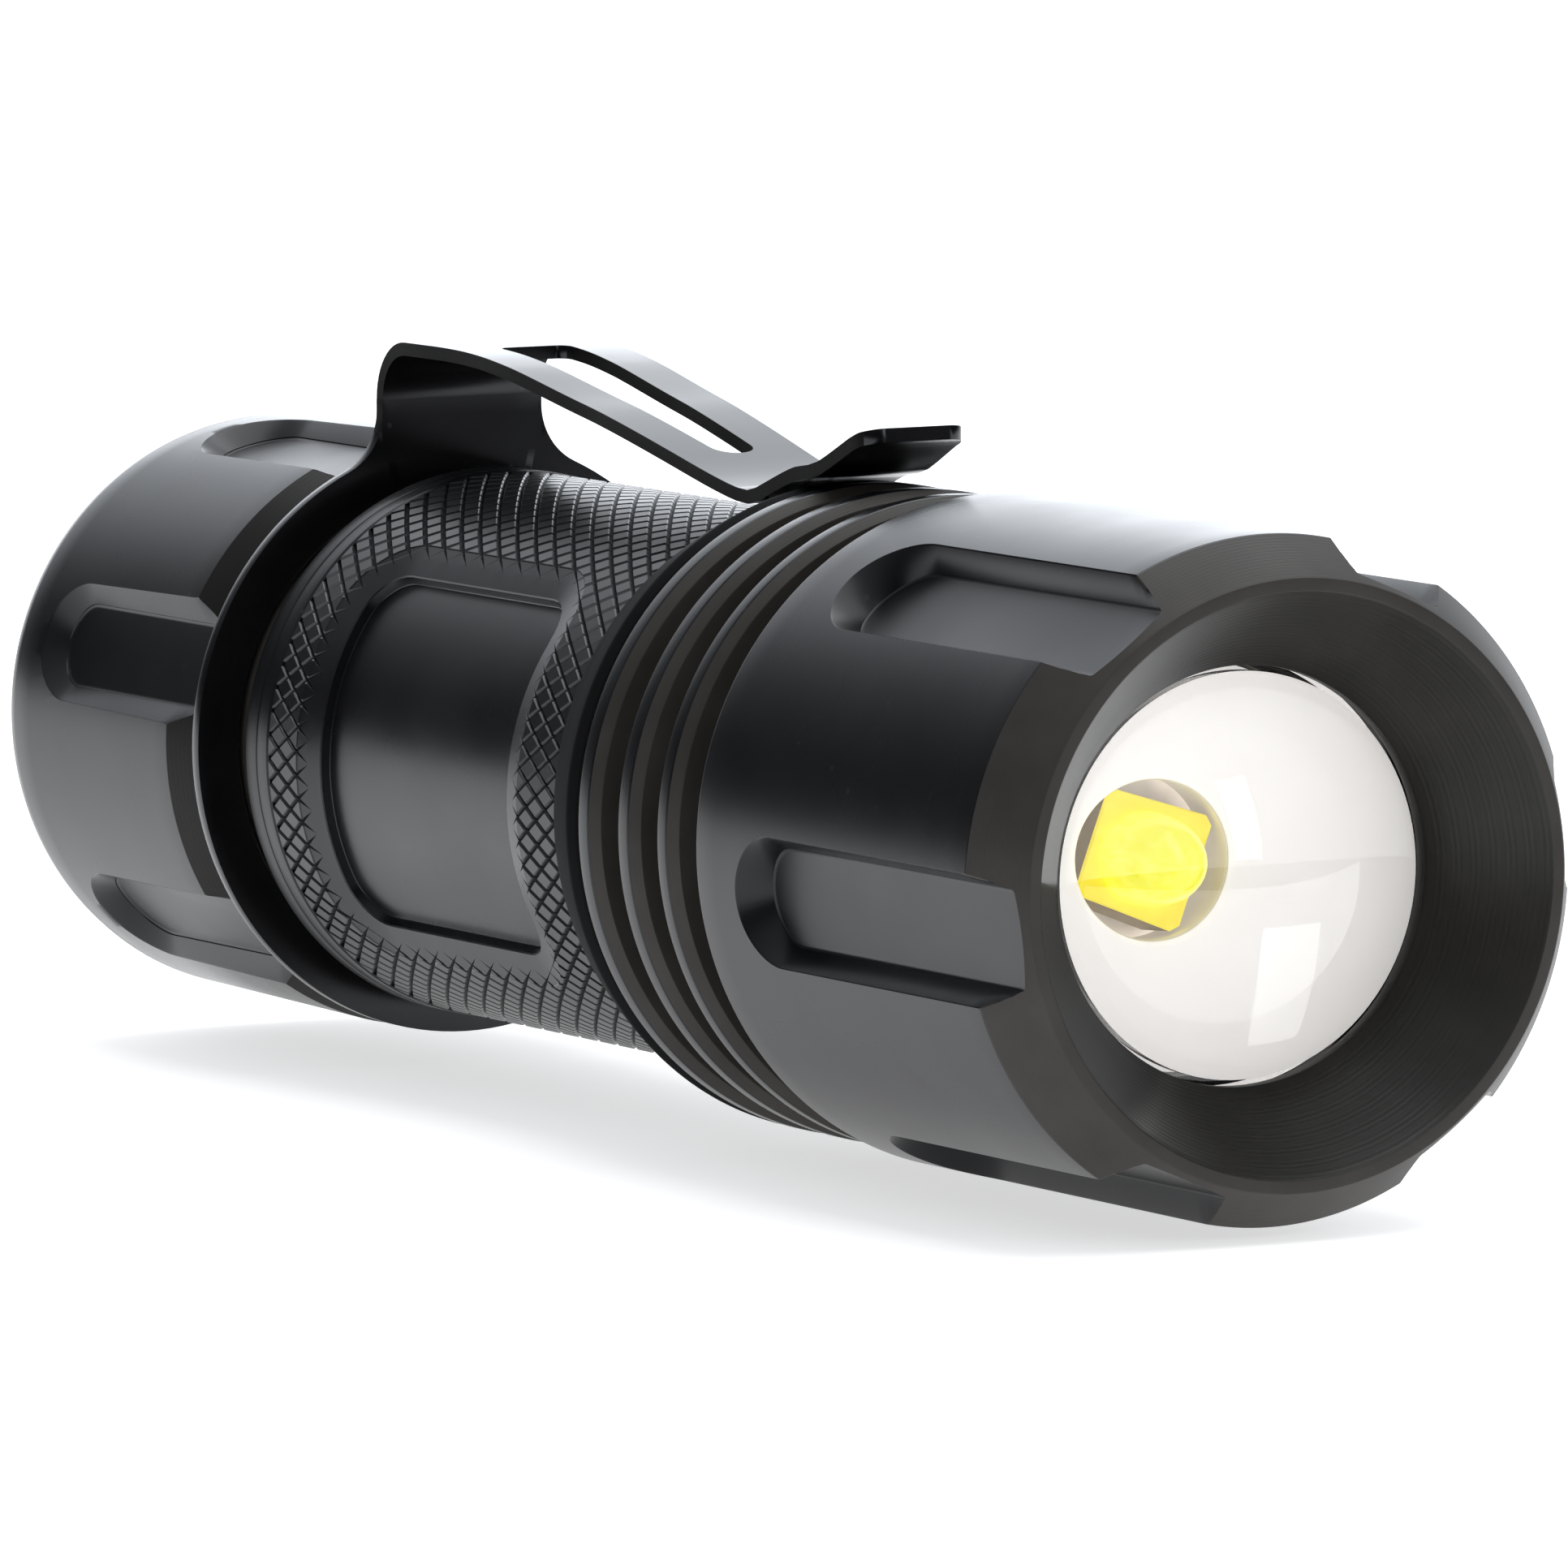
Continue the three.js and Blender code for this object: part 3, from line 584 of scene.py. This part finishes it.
def knurl(name, x0, x1, top, depth, around, pitch, bore):
    """Diamond knurl cut into a sleeve: two families of narrow grooves and flat-topped diamonds."""
    rows = int(round(abs(x1 - x0) / (pitch / 2)))
    dx = (x1 - x0) / rows
    d_a = 2 * math.pi / around
    verts, faces, index = [], [], {}

    def vertex(key, x, a, r):
        if key in index:
            return index[key]
        index[key] = len(verts)
        verts.append((x, -r * math.cos(a), r * math.sin(a)))
        return index[key]

    lo, hi = min(x0, x1), max(x0, x1)

    def crossing(j, half):
        # half counts half-steps round the tube
        half %= 2 * around
        x = min(max(x0 + j * dx, lo), hi)
        j = min(max(j, 0), rows)
        return vertex(("g", j, half), x, half * d_a / 2, top - depth)

    for j in range(rows + 1):
        for i in range(around):
            mid = 2 * i + 1 + (j % 2)
            L, R = crossing(j, mid - 1), crossing(j, mid + 1)
            F, B = crossing(j + 1, mid), crossing(j - 1, mid)
            centre_x, centre_a = x0 + j * dx, mid * d_a / 2
            loops = [[L, F, R, B]]
            for level, (k, drop) in enumerate(((0.80, 0.045), (0.71, 0.0))):
                loop = []
                for key, (sx, sa) in (("L", (0, -1)), ("F", (1, 0)), ("R", (0, 1)), ("B", (-1, 0))):
                    x = min(max(centre_x + sx * k * dx, lo), hi)
                    loop.append(vertex(("t", j, i, level, key), x, centre_a + sa * k * d_a / 2, top - drop))
                loops.append(loop)
            for a, b in zip(loops, loops[1:]):
                for q in range(4):
                    w = (q + 1) % 4
                    faces.append((a[q], a[w], b[w], b[q]))
            faces.append(tuple(loops[-1]))
    end0 = [crossing(0, h) for h in range(2 * around)]
    end1 = [crossing(rows, h) for h in range(2 * around)]
    in0 = [vertex(("i", 0, h), x0, h * d_a / 2, bore) for h in range(2 * around)]
    in1 = [vertex(("i", 1, h), x1, h * d_a / 2, bore) for h in range(2 * around)]
    n = 2 * around
    for h in range(n):
        g = (h + 1) % n
        faces.append((end0[h], end0[g], in0[g], in0[h]))
        faces.append((end1[h], end1[g], in1[g], in1[h]))
        faces.append((in0[h], in0[g], in1[g], in1[h]))
    return mesh_object(name, verts, faces)


def window_cutter(name, alpha):
    """Smooth window: floor concentric with the tube, a short steep wall, a wide soft bevel, round corners."""
    cx, hx = (-74.4 - 51.2) / 2, (74.4 - 51.2) / 2
    hs = math.radians(48.4) * KNURL_R

    rc = 4.2
    corners = []
    for sx, ss, a0 in ((1, 1, 0), (-1, 1, 90), (-1, -1, 180), (1, -1, 270)):
        for k in range(9):
            a = math.radians(a0 + 90 * k / 8)
            corners.append((sx * (hx - rc) + rc * math.cos(a), ss * (hs - rc) + rc * math.sin(a)))
    outline = subdivide(corners, 0.75)

    def ring(offset, radius, scale=1.0):
        out = []
        for x, s in outline:
            # move each point along the outline's own normal
            qx = max(abs(x) - (hx - rc), 0) * (1 if x > 0 else -1)
            qs = max(abs(s) - (hs - rc), 0) * (1 if s > 0 else -1)
            l = math.hypot(qx, qs) or 1.0
            px, ps = (x + qx / l * offset) * scale, (s + qs / l * offset) * scale
            a = math.radians(alpha) + ps / KNURL_R
            out.append(np.array([cx + px, -radius * math.cos(a), radius * math.sin(a)]))
        return out

    rings = [ring(-1.90, 12.58, k / 14) for k in (0.6, 1.5, 2.5, 3.5, 5, 6.5, 8, 9.5, 11, 12.5, 13.4)]
    rings += [ring(-1.93, 12.58), ring(-1.88, 12.595), ring(-1.85, 12.64), ring(-1.80, 13.06), ring(-1.74, 13.125),
              ring(-1.5, 13.17), ring(-0.75, 13.33), ring(-0.05, 13.48), ring(0.08, 13.60), ring(0.5, 14.2)]
    rings += [ring(0.5, 15.4, k / 14) for k in (13.8, 12, 10, 8, 6, 4, 2.2, 0.8)]
    return loft(name, rings)


knurled = knurl("knurl", KNURL_FRONT, KNURL_REAR, KNURL_R, 0.23, 72, 1.93, 11.4)
boolean(knurled, join([window_cutter("w0", 4.4), window_cutter("w1", 184.4)], "windows"))
front_profile = fillet([
    (-41.2, 15.0, 0.08), (-41.5, 15.42, 0.3), (-42.1, 15.64, 0.5), (-43.2, 15.3), (-44.6, 14.82), (-45.55, 14.48, 0.25), (-46.2, 13.75, 0.15),
    (-46.35, 13.5), (-46.35, 12.4), (-40.96, 12.4), (-40.96, 14.7, 0.05), (-41.2, 14.75)])
tube_front = lathe("tube_front", subdivide(front_profile, 1.0), 216)
rear_profile = fillet([
    (-77.4, 13.5), (-77.5, 13.6, 0.12), (-78.5, 13.6, 0.05), (-78.55, 13.52), (-78.62, 13.6, 0.05), (-79.75, 13.6, 0.15),
    (-79.9, 13.4, 0.05), (-79.9, 12.3, 0.1), (-84.3, 12.3), (-84.3, 11.9), (-93.0, 11.9), (-93.0, 11.4), (-77.4, 11.4)])
tube_rear = lathe("tube_rear", subdivide(rear_profile, 2.0), 216)
tube = join([knurled, tube_front, tube_rear], "grip_shell")


def tube_choice(x, r, nx, nr, c):
    if nr < -0.3 and r < 12.6:
        return 2
    if x < -79.8:
        return 1
    if x > -46.3:
        return 4
    if -77.35 < x < -46.4 and nr > 0.3:
        # the knurled band and its two windows share one finish
        return 3
    return 0


finish_piece(tube, "tube", [ANODISED, TURNED, BORE, KNURL, FLANGE], tube_choice, sharp=25, replaces=("grip_tube",))


def thread(name, x0, x1, root, crest, pitch, body_r, segs=96, per=8):
    """Screw thread as real relief on a sleeve."""
    n = int(abs(x1 - x0) / pitch * per)
    rings = []
    for k in range(n + 1):
        x = x0 + (x1 - x0) * k / n
        fade = min(1.0, min(k, n - k) / per)
        ringpts = []
        for i in range(segs):
            a = 2 * math.pi * i / segs
            ph = (abs(x - x0) / pitch + i / segs) % 1.0
            tri = 1 - abs(2 * ph - 1)
            h = min(max((tri - 0.15) / 0.6, 0), 1)
            r = root + (crest - root) * h * fade
            ringpts.append((x, -r * math.cos(a), r * math.sin(a)))
        rings.append(ringpts)
    verts = [p for r_ in rings for p in r_]
    faces = []
    for k in range(len(rings) - 1):
        for i in range(segs):
            j = (i + 1) % segs
            faces.append((k * segs + i, k * segs + j, (k + 1) * segs + j, (k + 1) * segs + i))
    base = len(verts)
    for x in (x0, x1):
        for i in range(segs):
            a = 2 * math.pi * i / segs
            verts.append((x, -body_r * math.cos(a), body_r * math.sin(a)))
    last = (len(rings) - 1) * segs
    for i in range(segs):
        j = (i + 1) % segs
        faces.append((i, j, base + j, base + i))
        faces.append((last + i, last + j, base + segs + j, base + segs + i))
        faces.append((base + i, base + j, base + segs + j, base + segs + i))
    return mesh_object(name, verts, faces)


finish_piece(thread("tail_thread", -84.6, -92.7, 11.85, 12.3, 1.25, 11.6), "tube", [TURNED], sharp=40)

# ------------------------------------------------------------------- tail cap
def cap_surface(x):
    if x > -86.0:
        return 13.6 + (14.85 - 13.6) * min(max((-83.6 - x) / 2.4, 0), 1)
    return 14.85 + (14.58 - 14.85) * (-86.0 - x) / 17.6


cap_profile = fillet([
    (-83.6, 13.62, 0.1), (-86.0, 14.85, 0.2), (-103.6, 14.58, 0.0), (-104.8, 14.3, 1.1), (-104.8, 7.3, 0.25),
    (-104.0, 6.4, 0.15), (-102.4, 6.4), (-102.4, 9.6), (-94.6, 9.6), (-94.6, 12.6), (-86.8, 12.6), (-86.8, 13.15), (-83.6, 13.15, 0.05)])
cap = lathe("cap_shell", subdivide(cap_profile, 1.6), 216)
cutters = [pocket_cutter(f"t{i}", 16.5 + 60 * i, -82.0, -98.0, 3.0, 2.15, 13.62, cap_surface, floor_round=0.2) for i in range(6)]
boolean(cap, join(cutters, "cap_cutters"))


def cap_choice(x, r, nx, nr, c):
    if nr < -0.3:
        return 2
    # painted shade: the cap's forward-facing front face and chamfer take the darker copy
    if x > -86.1 and nx > 0.3:
        return 4
    if x < -104.7:
        return 1
    if r < 12.7:
        return 2
    if x > -101.5 and abs(r - cap_surface(x)) > 0.05:
        return 3
    return 0


finish_piece(cap, "tail", [ANODISED, TURNED, BORE, MILLED, GROOVE_PAINTED_SHADE], cap_choice, replaces=("tail_cap",))

boot_profile = [(-102.6, 0.0), (-102.0, 6.2), (-101.6, 6.6), (-101.6, 9.3), (-102.25, 9.3), (-102.3, 6.6), (-102.5, 6.3),
                (-103.2, 6.15), (-103.6, 5.7), (-103.9, 5.2), (-104.05, 4.5), (-104.1, 3.9), (-104.2, 3.7), (-104.28, 3.0),
                (-104.24, 2.6), (-104.3, 2.3), (-104.34, 1.5), (-104.3, 1.2), (-104.35, 0.9), (-104.36, 0.0)]
boot = lathe("boot", boot_profile, 96, closed=False)
finish_piece(boot, None, [RUBBER], sharp=40)
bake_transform(boot)
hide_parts("switch_boot", "boot_flange")

# ----------------------------------------------------------------------- clip
CLIP_T = 0.66
knots = [(-80.15, 19.93), (-78.2, 19.93), (-76.4, 19.92), (-74.4, 19.86), (-72.4, 19.71), (-70.4, 19.46), (-68.4, 19.14),
         (-64.0, 18.32), (-60.9, 17.76), (-57.7, 17.1), (-54.6, 16.42), (-51.5, 15.72), (-49.5, 15.3), (-47.9, 15.02),
         (-46.9, 14.95), (-46.1, 15.12), (-45.0, 15.52), (-43.6, 16.02), (-42.4, 16.38), (-41.2, 16.55), (-40.3, 16.78),
         (-39.4, 17.16), (-38.4, 17.62), (-37.4, 18.08), (-36.5, 18.42), (-35.75, 18.62)]


def smooth_path(points, step):
    """Catmull-Rom curve through the points, at even steps."""
    P = [np.array(p, float) for p in points]
    P = [2 * P[0] - P[1]] + P + [2 * P[-1] - P[-2]]
    out = []
    for i in range(1, len(P) - 2):
        a, b, c, d = P[i - 1:i + 3]
        n = max(1, int(round(np.linalg.norm(c - b) / step)))
        for k in range(n):
            t = k / n
            out.append(0.5 * ((2 * b) + (c - a) * t + (2 * a - 5 * b + 4 * c - d) * t * t + (3 * b - a - 3 * c + d) * t ** 3))
    out.append(P[-2])
    return out


top = [np.array([-83.15, 14.2]), np.array([-83.15, 16.0]), np.array([-83.15, 16.93])]
for i in range(1, 12):
    a = (math.pi / 2) * i / 12
    top.append(np.array([-80.15 - 3.0 * math.cos(a), 16.93 + 3.0 * math.sin(a)]))
top += smooth_path(knots, 0.8)
tangents = [top[min(i + 1, len(top) - 1)] - top[max(i - 1, 0)] for i in range(len(top))]
under = [p + CLIP_T * np.array([t[1], -t[0]]) / np.linalg.norm(t) for p, t in zip(top, tangents)]
side = [tuple(p) for p in top] + [tuple(p) for p in reversed(under)]
strip = loft("clip_strip", [[(x, y, z) for x, z in side] for y in (-6.5, 6.5)])


def clip_half(x):
    return 4.42 - 1.3 * (x + 80) / 35


plan = [(-84.5, 4.45)] + [(x, clip_half(x)) for x in (-80, -72, -64, -56, -48, -44, -40, -37.2)]
tip_w = clip_half(-37.2)
for k in range(1, 9):
    a = (math.pi / 2) * k / 8
    plan.append((-36.95 + 1.2 * math.sin(a), tip_w - 1.15 + 1.15 * math.cos(a)))
plan += [(x, -y) for x, y in reversed(plan)]
prism = loft("clip_plan", [[(x, y, z) for x, y in plan] for z in (8.0, 26.0)])
boolean(strip, prism, "INTERSECT")
slot_pts = []
for k in range(9):
    a = math.pi / 2 + math.pi / 2 * k / 8
    slot_pts.append((-74.4 + 0.6 * math.cos(a), 1.3 + 0.6 * math.sin(a)))
slot_pts = slot_pts + [(x, -y) for x, y in reversed(slot_pts)]
for k in range(13):
    a = -math.pi / 2 + math.pi * k / 12
    slot_pts.append((-54.5 + 1.12 * math.cos(a), 1.12 * math.sin(a)))
slot_hole = loft("clip_slot", [[(x, y, z) for x, y in slot_pts] for z in (8.0, 26.0)])
boolean(strip, slot_hole)

outer, inner = [], []
R_RING, TAB, FIL = 14.83, 4.45, 3.2
fy = TAB + FIL
fz = math.sqrt((R_RING + FIL) ** 2 - fy ** 2)
a_ring = math.degrees(math.atan2(fy, fz))
boundary = []
for k in range(0, 121):
    a = a_ring + (360 - 2 * a_ring) * k / 120
    boundary.append((R_RING * math.sin(math.radians(a)), R_RING * math.cos(math.radians(a))))
# left shoulder, tab top, right shoulder, back to the start
for sgn in (-1, 1):
    arc = []
    t0 = math.atan2(-fz, -fy)
    for k in range(1, 11):
        t = t0 + (-math.pi - t0) * k / 10
        arc.append((fy + FIL * math.cos(t), fz + FIL * math.sin(t)))
    if sgn < 0:
        boundary += [(-y, z) for y, z in arc]
        boundary += [(-TAB, 16.93), (-TAB + 1.5, 16.93), (0.0, 16.93), (TAB - 1.5, 16.93), (TAB, 16.93)]
    else:
        boundary += list(reversed(arc))
hole = []
for y, z in boundary:
    l = math.hypot(y, z)
    hole.append((12.6 * y / l, 12.6 * z / l))
n = len(boundary)
verts, faces = [], []
for x in (-83.15, -82.49):
    verts += [(x, y, z) for y, z in boundary]
    verts += [(x, y, z) for y, z in hole]
for i in range(n):
    j = (i + 1) % n
    faces += [(i, j, n + j, n + i), (2 * n + i, 2 * n + j, 3 * n + j, 3 * n + i),
              (i, j, 2 * n + j, 2 * n + i), (n + i, n + j, 3 * n + j, 3 * n + i)]
plate = mesh_object("clip_plate", verts, faces)
boolean(strip, plate, "UNION")
clip = strip
clip.name = "pocket_clip"
bevel(clip, 0.11, 2, 40)
finish_piece(clip, None, [CLIP_BLACK, CLIP_EDGE],
             lambda x, r, nx, nr, c: 1 if abs(nr) < 0.6 and abs(nx) < 0.6 and r > 15.0 else 0, sharp=30, even=True)
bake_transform(clip)
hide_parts("clip_band", "clip_arm")

# -------------------------------------------------------- carried-over pieces
# led_board takes the emitter board's painted glow.
NODE_FINISH = {
    "lens_gasket": SEAL, "lens_retaining_ring": TURNED, "stop_ring": STEEL, "led_board": EMITTER_BOARD, 
    "led_wire_positive": RED, "led_wire_negative": BLACK_WIRE, "driver_board": GREEN, "driver_inductor": DARK_PLASTIC,
    "driver_chip": DARK_PLASTIC, "driver_retaining_ring": BRASS, "driver_spring": STEEL, "battery_carrier": DARK_PLASTIC,
    "carrier_front_plate": STEEL, "carrier_rear_plate": STEEL, "carrier_front_contact": BRASS, "carrier_rear_contact": BRASS,
    "cell_1": JACKET, "cell_2": JACKET, "cell_3": JACKET, "tail_oring": SEAL, "switch_retaining_ring": BRASS,
    "switch_board": GREEN, "tail_spring": STEEL, "switch_body": DARK_PLASTIC, "switch_plunger": WHITE,
}
for name, material in NODE_FINISH.items():
    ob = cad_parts[name]
    ob.data.materials.clear()
    ob.data.materials.append(material)

# ----------------------------------------------------------------------- stage
def floor_material():
    m, nt, b = new_material("stage_white")
    v = coords(nt, False)
    c = ramp(nt, noise(nt, v, 3.0, 2.0), [(0.3, (0.93, 0.93, 0.93)), (0.7, (0.95, 0.95, 0.95))])
    nt.links.new(c, b.inputs["Base Color"])
    b.inputs["Roughness"].default_value = 0.9
    b.inputs["Specular IOR Level"].default_value = 0.2
    b.inputs["Emission Color"].default_value = (1, 1, 1, 1)
    b.inputs["Emission Strength"].default_value = 0.62
    return m


me = bpy.data.meshes.new("floor")
me.from_pydata([(-8, -8, 0), (0.17, -8, 0), (0.17, 8, 0), (-8, 8, 0)], [], [(0, 1, 2, 3)])
me.materials.append(floor_material())
floor = bpy.data.objects.new("floor", me)
floor.location.z = -0.0005
scene.collection.objects.link(floor)

world = bpy.data.worlds.new("studio")
scene.world = world
world.use_nodes = True
wt = world.node_tree
wt.nodes.clear()
w_out = wt.nodes.new("ShaderNodeOutputWorld")
w_tc = wt.nodes.new("ShaderNodeTexCoord")
w_sep = wt.nodes.new("ShaderNodeSeparateXYZ")
wt.links.new(w_tc.outputs["Generated"], w_sep.inputs[0])


def w_map(value, a, b, lo, hi):
    m = wt.nodes.new("ShaderNodeMapRange")
    m.interpolation_type = "SMOOTHSTEP"
    for k, v in (("From Min", a), ("From Max", b), ("To Min", lo), ("To Max", hi)):
        m.inputs[k].default_value = v
    wt.links.new(value, m.inputs["Value"])
    return m.outputs["Result"]


# A white sweep behind the object, a softer light above it, and a dark room round the rest.
def w_lobe(axis, a, b, hi):
    d = wt.nodes.new("ShaderNodeVectorMath")
    d.operation = "DOT_PRODUCT"
    wt.links.new(w_tc.outputs["Generated"], d.inputs[0])
    d.inputs[1].default_value = axis
    return w_map(d.outputs["Value"], a, b, 0.0, hi)


def w_join(a, b, how):
    m = wt.nodes.new("ShaderNodeMath")
    m.operation = how
    wt.links.new(a, m.inputs[0])
    wt.links.new(b, m.inputs[1])
    return m.outputs[0]


behind = w_lobe((-0.87, 0.49, 0.0), 0.78, 0.98, 2.9)
upper = w_lobe((-0.70, 0.55, 0.45), 0.57, 0.87, 1.3)
above = w_map(w_sep.outputs["Z"], 0.10, 0.85, 0.012, 0.55)
w_sum = w_join(w_join(behind, upper, "MAXIMUM"), above, "MAXIMUM")
w_light = wt.nodes.new("ShaderNodeBackground")
w_light.inputs["Color"].default_value = (0.91, 0.95, 1.0, 1)
wt.links.new(w_sum, w_light.inputs["Strength"])
w_white = wt.nodes.new("ShaderNodeBackground")
w_white.inputs["Color"].default_value = (1, 1, 1, 1)
w_path = wt.nodes.new("ShaderNodeLightPath")
w_mix = wt.nodes.new("ShaderNodeMixShader")
wt.links.new(w_path.outputs["Is Camera Ray"], w_mix.inputs[0])
wt.links.new(w_light.outputs[0], w_mix.inputs[1])
wt.links.new(w_white.outputs[0], w_mix.inputs[2])
wt.links.new(w_mix.outputs[0], w_out.inputs["Surface"])


def area(name, location, target, size, power, colour=(1, 1, 1)):
    d = bpy.data.lights.new(name, "AREA")
    d.shape = "RECTANGLE"
    d.size, d.size_y = size
    d.energy = power
    d.color = colour
    o = bpy.data.objects.new(name, d)
    o.location = location
    o.rotation_euler = (Vector(target) - Vector(location)).to_track_quat("-Z", "Y").to_euler()
    scene.collection.objects.link(o)
    return o


area("overhead", (0.0, 0.10, 0.55), (0, 0, 0.016), (0.7, 0.5), 2.2)
area("front_window", (0.85, 0.21, 0.32), (0.05, 0, 0.016), (0.20, 0.50), 1.05)

# ---------------------------------------------------------------------- camera
def basis(a, e, r):
    back = np.array([math.sin(a) * math.cos(e), -math.cos(a) * math.cos(e), math.sin(e)])
    right = np.array([math.cos(a), math.sin(a), 0.0])
    up = np.cross(back, right)
    c, s = math.cos(r), math.sin(r)
    return np.array([c * right + s * up, -s * right + c * up, back])


lean = math.radians(9.7)
turn = np.array([[1, 0, 0], [0, math.cos(lean), math.sin(lean)], [0, -math.sin(lean), math.cos(lean)]])
R = basis(math.radians(60.95), math.radians(1.12), math.radians(8.22)) @ turn.T
C = turn @ np.array([693.36, -412.54, 17.04])
cam_data = bpy.data.cameras.new("camera")
cam_data.sensor_width = 36.0
cam_data.lens = 21749.0 / 1932.0 * 36.0
cam_data.clip_start = 0.05
cam_data.clip_end = 50.0
cam = bpy.data.objects.new("camera", cam_data)
cam.matrix_world = Matrix([
    [R[0][0], R[1][0], R[2][0], (C[0] + HALF) * 0.001],
    [R[0][1], R[1][1], R[2][1], C[1] * 0.001],
    [R[0][2], R[1][2], R[2][2], (C[2] + AXIS) * 0.001],
    [0, 0, 0, 1]])
scene.collection.objects.link(cam)
scene.camera = cam
scene.view_settings.view_transform = "Standard"
